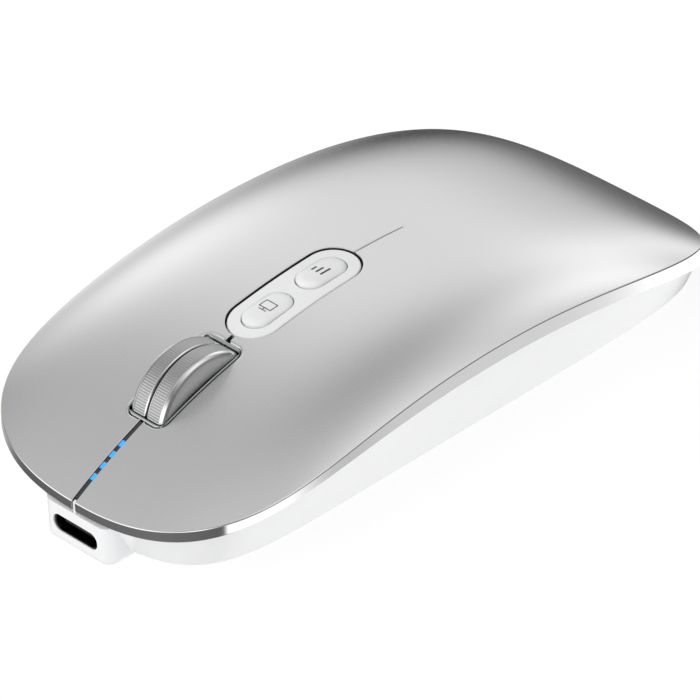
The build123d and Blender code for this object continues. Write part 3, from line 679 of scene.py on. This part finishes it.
def ribbon(work, points, width, center_y, closed=False):
    """Thin printed line that lies on a cap."""
    path = np.asarray(points, float)
    if closed:
        path = np.vstack([path, path[:1]])
    for start, end in zip(path[:-1], path[1:]):
        run = line(start, end, 0.2)
        direction = (end - start) / np.linalg.norm(end - start)
        side = np.array([-direction[1], direction[0]]) * width / 2
        run[0] -= direction * width / 2
        run[-1] += direction * width / 2
        rows, normals = [], []
        for edge in (-1, 1):
            place = run + side * edge
            rows.append(lift(place, cap_height(place[:, 0], place[:, 1], center_y) + ICON_LIFT))
            normals.append(cap_normal(place[:, 0], place[:, 1], center_y))
        work.strip(rows, normals)


def build_icons():
    """Generic marks: a plain screen on a stand, and three rising bars for pointer speed."""
    screen = Patchwork()
    y = DESKTOP_Y
    frame_line = [(-1.1, y - 0.5), (1.1, y - 0.5), (1.1, y + 1.0), (-1.1, y + 1.0)]
    ribbon(screen, frame_line, ICON_LINE, y, closed=True)
    ribbon(screen, [(0, y - 0.5), (0, y - 0.95)], ICON_LINE, y)
    ribbon(screen, [(-0.65, y - 1.0), (0.65, y - 1.0)], ICON_LINE, y)
    bars = Patchwork()
    for x, height in ((-0.9, 0.7), (0.0, 1.2), (0.9, 1.7)):
        ribbon(bars, [(x, SPEED_Y - 0.85), (x, SPEED_Y - 0.85 + height)], BAR_LINE, SPEED_Y)
    for work, name, body in ((screen, "desktop_icon", "desktop_key"), (bars, "speed_icon", "speed_key")):
        piece = work.build(name, [INK])
        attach(piece, body)


# ================================================================ wheel
TEETH = 150
TOOTH_DEPTH = 0.055
TREAD, POLISH, SIDE = range(3)
BORE = WHEEL_RADIUS - 1.7
HOLE = 2.35
# one side of the ring from its groove outwards: x, inset from the tread, knurled or not, material
RIM_PROFILE = (
    (0.18, 0.2, 0, POLISH), (0.22, 0.08, 0, POLISH), (0.32, 0.0, 0, POLISH), (0.40, 0.0, 0, TREAD),
    (0.42, 0.0, 1, TREAD), (1.5, -0.01, 1, TREAD), (2.5, 0.0, 1, TREAD), (2.52, 0.0, 0, TREAD),
    (2.66, 0.01, 0, POLISH), (2.88, 0.09, 0, POLISH), (3.07, 0.22, 0, POLISH), (3.22, 0.38, 0, SIDE),
    (3.33, 0.58, 0, SIDE), (3.38, 0.8, 0, SIDE), (3.36, 2.0, 0, SIDE), (3.28, 4.0, 0, SIDE),
    (3.18, 6.0, 0, SIDE), (3.1, WHEEL_RADIUS - HOLE, 0, SIDE), (2.92, WHEEL_RADIUS - HOLE, 0, SIDE),
    (2.92, WHEEL_RADIUS - BORE, 0, SIDE), (0.18, WHEEL_RADIUS - BORE, 0, POLISH),
)


def build_rim(side, name, node):
    """Ring turned from metal: groove face, knurled tread, broad polished bevel, dished side."""
    count = TEETH * 2
    angles = np.linspace(0, 2 * math.pi, count, endpoint=False)
    tooth = (np.arange(count) % 2) * TOOTH_DEPTH
    verts, faces, slots = [], [], []
    for x, inset, knurl, _ in RIM_PROFILE:
        reach = WHEEL_RADIUS - inset - tooth * knurl
        verts += [(side * x, WHEEL_Y + a * math.sin(t), WHEEL_Z + a * math.cos(t))
                  for a, t in zip(reach, angles)]
    rings = len(RIM_PROFILE)
    for ring in range(rings):
        following = (ring + 1) % rings
        for i in range(count):
            j = (i + 1) % count
            quad = (ring * count + i, ring * count + j, following * count + j, following * count + i)
            faces.append(quad if side < 0 else tuple(reversed(quad)))
            slots.append(RIM_PROFILE[ring][3])
    mesh = bpy.data.meshes.new(name)
    mesh.from_pydata([tuple(c * MM for c in v) for v in verts], [], faces)
    mesh.materials.append(WHEEL_METAL)
    mesh.materials.append(WHEEL_POLISH)
    mesh.materials.append(WHEEL_SIDE)
    mesh.polygons.foreach_set("material_index", slots)
    piece = bpy.data.objects.new(name, mesh)
    bpy.context.scene.collection.objects.link(piece)
    smooth_by_angle(piece, 32.0)
    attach(piece, "scroll_wheel")
    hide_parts(node)


GUARD_SINK = 0.22
GUARD_SWELL = 0.25
GUARD_OUTER_GAP = 0.025
GUARD_RAIL = 3.46
GUARD_CLEARANCE = 0.15
GUARD_DEPTH = 0.7
GUARD_CORNER = 0.25
GUARD_SQUARENESS = 0.6


def wheel_reach(end, sink):
    """How far along y the wheel reaches at a depth below the cover, towards one end of the slot."""
    y = WHEEL_Y + end * WHEEL_RADIUS
    for _ in range(40):
        height = surface(0.0, y) - sink - WHEEL_Z
        y = WHEEL_Y + end * math.sqrt((WHEEL_RADIUS + GUARD_CLEARANCE) ** 2 - height ** 2)
    return y


def rounded_box(half_width, front, rear, corner, count=240):
    """Right-hand half of a box with round corners, then its left-hand half, as one closed ring."""
    x = half_width - corner
    half = chain(line((0, front), (x, front)), arc((x, front + corner), corner, -90, 0, 0.1),
                 line((half_width, front + corner), (half_width, rear - corner)),
                 arc((x, rear - corner), corner, 0, 90, 0.1), line((x, rear), (0, rear)))
    half = even(half, count // 2 + 1)
    return np.concatenate([half, (half * (-1, 1))[-2:0:-1]])


def ring_normals(rows):
    """Directions square to a closed grid of points."""
    grid = np.array(rows)
    along = np.roll(grid, -1, axis=1) - np.roll(grid, 1, axis=1)
    across = np.gradient(grid, axis=0)
    normal = np.cross(across, along)
    normal *= np.sign(normal[len(rows) // 2, 0, 2])
    return list(normal / np.linalg.norm(normal, axis=2, keepdims=True))


def build_guard():
    """Frame round the wheel, inside its slot: broad at both ends, a thin rail on either side."""
    outer = rounded_box(SLOT_HALF - GUARD_OUTER_GAP, SLOT_FRONT + GUARD_OUTER_GAP,
                        SLOT_REAR - GUARD_OUTER_GAP, SLOT_CORNER - GUARD_OUTER_GAP)
    inner, low_inner = (rounded_box(GUARD_RAIL, wheel_reach(-1, sink), wheel_reach(1, sink), GUARD_CORNER)
                        for sink in (GUARD_SINK, GUARD_SINK + GUARD_DEPTH))
    rows = []
    for turn in np.radians((0, 12, 28, 50, 70, 90, 110, 130, 152, 168, 180)):
        share = (1 - math.cos(turn)) / 2
        ring = outer * (1 - share) + inner * share
        swell = GUARD_SWELL * math.sin(turn) ** GUARD_SQUARENESS
        rows.append(lift(ring, surface(ring[:, 0], ring[:, 1]) - GUARD_SINK + swell))
    work = Patchwork()
    work.strip(rows, ring_normals(rows), closed=True)
    away = np.roll(outer, -1, axis=0) - np.roll(outer, 1, axis=0)
    away = np.column_stack([away[:, 1], -away[:, 0], np.zeros(len(away))])
    away /= np.linalg.norm(away, axis=1, keepdims=True)
    low_outer = lift(outer, surface(outer[:, 0], outer[:, 1]) - GUARD_SINK - GUARD_DEPTH)
    low_ring = lift(low_inner, surface(low_inner[:, 0], low_inner[:, 1]) - GUARD_SINK - GUARD_DEPTH)
    work.strip([rows[0], low_outer], [away, away], closed=True)
    work.strip([rows[-1], low_ring], [-away, -away], closed=True)
    work.strip([low_outer, low_ring], [flat_normals(outer, (0, 0, -1))] * 2, closed=True)
    piece = work.build("wheel_guard_frame", [GUARD])
    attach(piece, "case")
    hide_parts("front_wheel_guard", "rear_wheel_guard")


# ================================================================ charging socket contacts
def box_faces(work, low, high):
    """Small closed block."""
    low, high = np.asarray(low, float), np.asarray(high, float)
    for axis in range(3):
        others = [i for i in range(3) if i != axis]
        for value, sign in ((low[axis], -1), (high[axis], 1)):
            corners = []
            for first, second in ((0, 0), (1, 0), (1, 1), (0, 1)):
                corner = np.zeros(3)
                corner[axis] = value
                corner[others[0]] = (low, high)[first][others[0]]
                corner[others[1]] = (low, high)[second][others[1]]
                corners.append(corner)
            normal = np.zeros(3)
            normal[axis] = sign
            work.add(corners, flat_normals(corners, normal), [(0, 1, 2, 3)])


CONTACTS = 12
CONTACT_PITCH = 0.5
CONTACT_SIZE = (0.26, 2.45, 0.04)
CONTACT_SETBACK = 0.15
CONTACT_LEVELS = (-0.37, 0.33)


def build_contacts():
    """Contact strips on both faces of the socket's tongue."""
    low, high = (np.array(corner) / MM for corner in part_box("usb_tongue"))
    middle = (low[2] + high[2]) / 2
    work = Patchwork()
    for index in range(CONTACTS):
        x = (index - (CONTACTS - 1) / 2) * CONTACT_PITCH - CONTACT_SIZE[0] / 2
        for level in CONTACT_LEVELS:
            corner = np.array((x, low[1] + CONTACT_SETBACK, middle + level))
            box_faces(work, corner, corner + CONTACT_SIZE)
    piece = work.build("socket_contacts", [GOLD])
    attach(piece, "case")


# ================================================================ CAD nodes that stay
LOOKS = (
    (WHITE, ("bottom_case",)),
    (INNER_WHITE, ("battery_socket",)),
    (BLACK, ("center_frame", "desktop_switch_body", "speed_switch_body", "left_switch_body",
             "right_switch_body", "middle_switch_body", "usb_tongue", "scroll_sensor", "sensor_chip",
             "controller_chip", "power_switch_body", "power_switch_knob", "wheel_hub", "encoder_disc",
             "wheel_yoke")),
    (BOARD, ("button_board", "main_board")),
    # socket shell gets the steel with painted shade, as dark as the shaded inside of the socket
    (SOCKET_SHADE_STEEL, ("usb_shell",)),
    (STEEL, ("crystal", "case_screws", "wheel_axle")),
    (BAR_BLACK, ("light_bar",)),
    (LAMP, ("light_bar_lamps",)),
    (CLEAR, ("sensor_lens",)),
    (FOIL, ("battery_pack",)),
    (FOOT, ("front_foot", "rear_foot")),
    (PLUNGER, ("left_switch_plunger", "right_switch_plunger", "middle_switch_plunger",
               "desktop_switch_plunger", "speed_switch_plunger")),
)


def dress_nodes():
    for material, nodes in LOOKS:
        for node in nodes:
            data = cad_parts[node].data
            data.materials.clear()
            data.materials.append(material)


# ================================================================ stage, light and camera
AZIMUTH = math.radians(47.185)
ELEVATION = math.radians(34.398)
ROLL = math.radians(-2.581)
DISTANCE = 986.66
LENS = 353.98
AIM_HEIGHT = 10.0
SHIFT = (-1.547, -3.192)


def build_camera():
    back = Vector((math.sin(AZIMUTH) * math.cos(ELEVATION), -math.cos(AZIMUTH) * math.cos(ELEVATION),
                   math.sin(ELEVATION)))
    level = Vector((math.cos(AZIMUTH), math.sin(AZIMUTH), 0))
    upright = back.cross(level)
    right = level * math.cos(ROLL) + upright * math.sin(ROLL)
    up = upright * math.cos(ROLL) - level * math.sin(ROLL)
    place = Vector((0, 0, AIM_HEIGHT)) + back * DISTANCE + right * SHIFT[0] + up * SHIFT[1]
    data = bpy.data.cameras.new("camera")
    data.lens = LENS
    data.sensor_width = 36.0
    data.clip_start = 0.01
    data.clip_end = 20.0
    camera = bpy.data.objects.new("camera", data)
    turned = Matrix((right, up, back)).transposed().to_4x4()
    turned.translation = place * MM
    camera.matrix_world = turned
    bpy.context.scene.collection.objects.link(camera)
    bpy.context.scene.camera = camera


def direction(azimuth, elevation):
    """Unit vector; azimuth 0 is the front of the mouse and grows towards its left-hand button."""
    azimuth, elevation = math.radians(azimuth), math.radians(elevation)
    return (math.sin(azimuth) * math.cos(elevation), -math.cos(azimuth) * math.cos(elevation),
            math.sin(elevation))


# soft panels of the studio: azimuth, elevation and spread in degrees, strength
PANELS = (
    (-110.0, -12.5, 14.0, 1.48),
    (-169.0, 36.5, 12.5, 1.05),
    (-118.5, 30.0, 12.5, 1.3),
    (-49.5, 59.5, 23.5, 0.65),
    (116.0, 53.0, 24.5, 1.18),
    (-151.5, -0.5, 8.0, 1.4),
    (-149.0, 19.0, 9.0, 0.95),
    (-173.5, 22.5, 9.5, 0.54),
    (-141.5, -8.5, 12.0, -0.6),
    (28.0, 6.0, 12.0, 2.2),
    (-12.0, 8.0, 15.0, 1.7),
    (-50.0, 8.0, 15.0, 1.5),
)
FLOOR_SHEEN = (0.0, -34.0, 60.0, 0.165)
BRIGHT_SIDE = 131.0
BRIGHT_FLOOR = 1.45
BRIGHT_EDGE = (0.12, 0.2)       # where its edge lies, as cosines
BELOW_EDGE = (0.38, 0.5)
DARK_CARD = (127.0, -34.0, 9.5, -0.85)
FILL = 0.59
FILL_TOWARD = (0.0, 35.0)
FILL_CONTRAST = 0.85
FLOOR_WHITE = 0.3
FLOOR_GLOW = 0.75
FLOOR_REACH = 3.0


def build_world():
    """Gloss sees soft panels and a floor that is bright on one side; matt surfaces get an even fill."""
    world = bpy.data.worlds.new("studio")
    world.use_nodes = True
    tree = world.node_tree
    place = tree.nodes.new("ShaderNodeTexCoord").outputs["Generated"]

    def maths(operation, first, second=None, clamp=False):
        node = tree.nodes.new("ShaderNodeMath")
        node.operation = operation
        node.use_clamp = clamp
        for socket, value in zip(node.inputs, (first, second)):
            if isinstance(value, bpy.types.NodeSocket):
                tree.links.new(value, socket)
            elif value is not None:
                socket.default_value = value
        return node.outputs[0]

    def toward(vector):
        node = tree.nodes.new("ShaderNodeVectorMath")
        node.operation = "DOT_PRODUCT"
        node.inputs[1].default_value = vector
        tree.links.new(place, node.inputs[0])
        return node.outputs["Value"]

    def step_between(value, low, high):
        node = tree.nodes.new("ShaderNodeMapRange")
        node.interpolation_type = "SMOOTHSTEP"
        node.inputs["From Min"].default_value = low
        node.inputs["From Max"].default_value = high
        tree.links.new(value, node.inputs["Value"])
        return node.outputs["Result"]

    glow = 0.0
    for azimuth, elevation, width, strength in PANELS + (FLOOR_SHEEN, DARK_CARD):
        fall = maths("MULTIPLY", maths("SUBTRACT", toward(direction(azimuth, elevation)), 1.0),
                     1 / math.radians(width) ** 2)
        glow = maths("ADD", maths("MULTIPLY", maths("EXPONENT", fall), strength), glow)
    below = step_between(toward((0, 0, -1)), *BELOW_EDGE)
    bright_side = step_between(toward(direction(BRIGHT_SIDE, 0)), *BRIGHT_EDGE)
    glow = maths("ADD", glow, maths("MULTIPLY", below, maths("MULTIPLY", bright_side, BRIGHT_FLOOR)))
    glow = maths("MAXIMUM", glow, 0.0)

    is_glossy = tree.nodes.new("ShaderNodeLightPath").outputs["Is Glossy Ray"]
    mix = tree.nodes.new("ShaderNodeMix")
    mix.data_type = "FLOAT"
    tree.links.new(is_glossy, mix.inputs["Factor"])
    fill = maths("ADD", maths("MULTIPLY", toward(direction(*FILL_TOWARD)), FILL_CONTRAST), FILL)
    tree.links.new(fill, mix.inputs["A"])
    tree.links.new(glow, mix.inputs["B"])
    tree.links.new(mix.outputs["Result"], tree.nodes["Background"].inputs["Strength"])
    tree.nodes["Background"].inputs["Color"].default_value = (1, 1, 1, 1)
    bpy.context.scene.world = world


def build_stage():
    """White floor that glows a little, so that only a faint contact shadow shows on it."""
    corners = [(x * FLOOR_REACH, y * FLOOR_REACH, 0) for x, y in ((-1, -1), (1, -1), (1, 1), (-1, 1))]
    mesh = bpy.data.meshes.new("floor")
    mesh.from_pydata(corners, [], [(0, 1, 2, 3)])
    material, _, shader = new_material("floor_white", (FLOOR_WHITE,) * 3, 0.0, 1.0)
    shader.inputs["Specular IOR Level"].default_value = 0.0
    shader.inputs["Emission Color"].default_value = (1, 1, 1, 1)
    shader.inputs["Emission Strength"].default_value = FLOOR_GLOW
    mesh.materials.append(material)
    floor = bpy.data.objects.new("floor", mesh)
    floor.visible_glossy = False
    bpy.context.scene.collection.objects.link(floor)
    build_world()
    bpy.context.scene.view_settings.view_transform = "Standard"


build_covers()
build_bezel()
build_cap("desktop_cap", "desktop_key", "desktop_button", DESKTOP_Y)
build_cap("speed_cap", "speed_key", "speed_button", SPEED_Y)
build_icons()
build_rim(1, "knurled_rim_left", "wheel_rim_left")
build_rim(-1, "knurled_rim_right", "wheel_rim_right")
build_guard()
build_contacts()
dress_nodes()
build_camera()
build_stage()
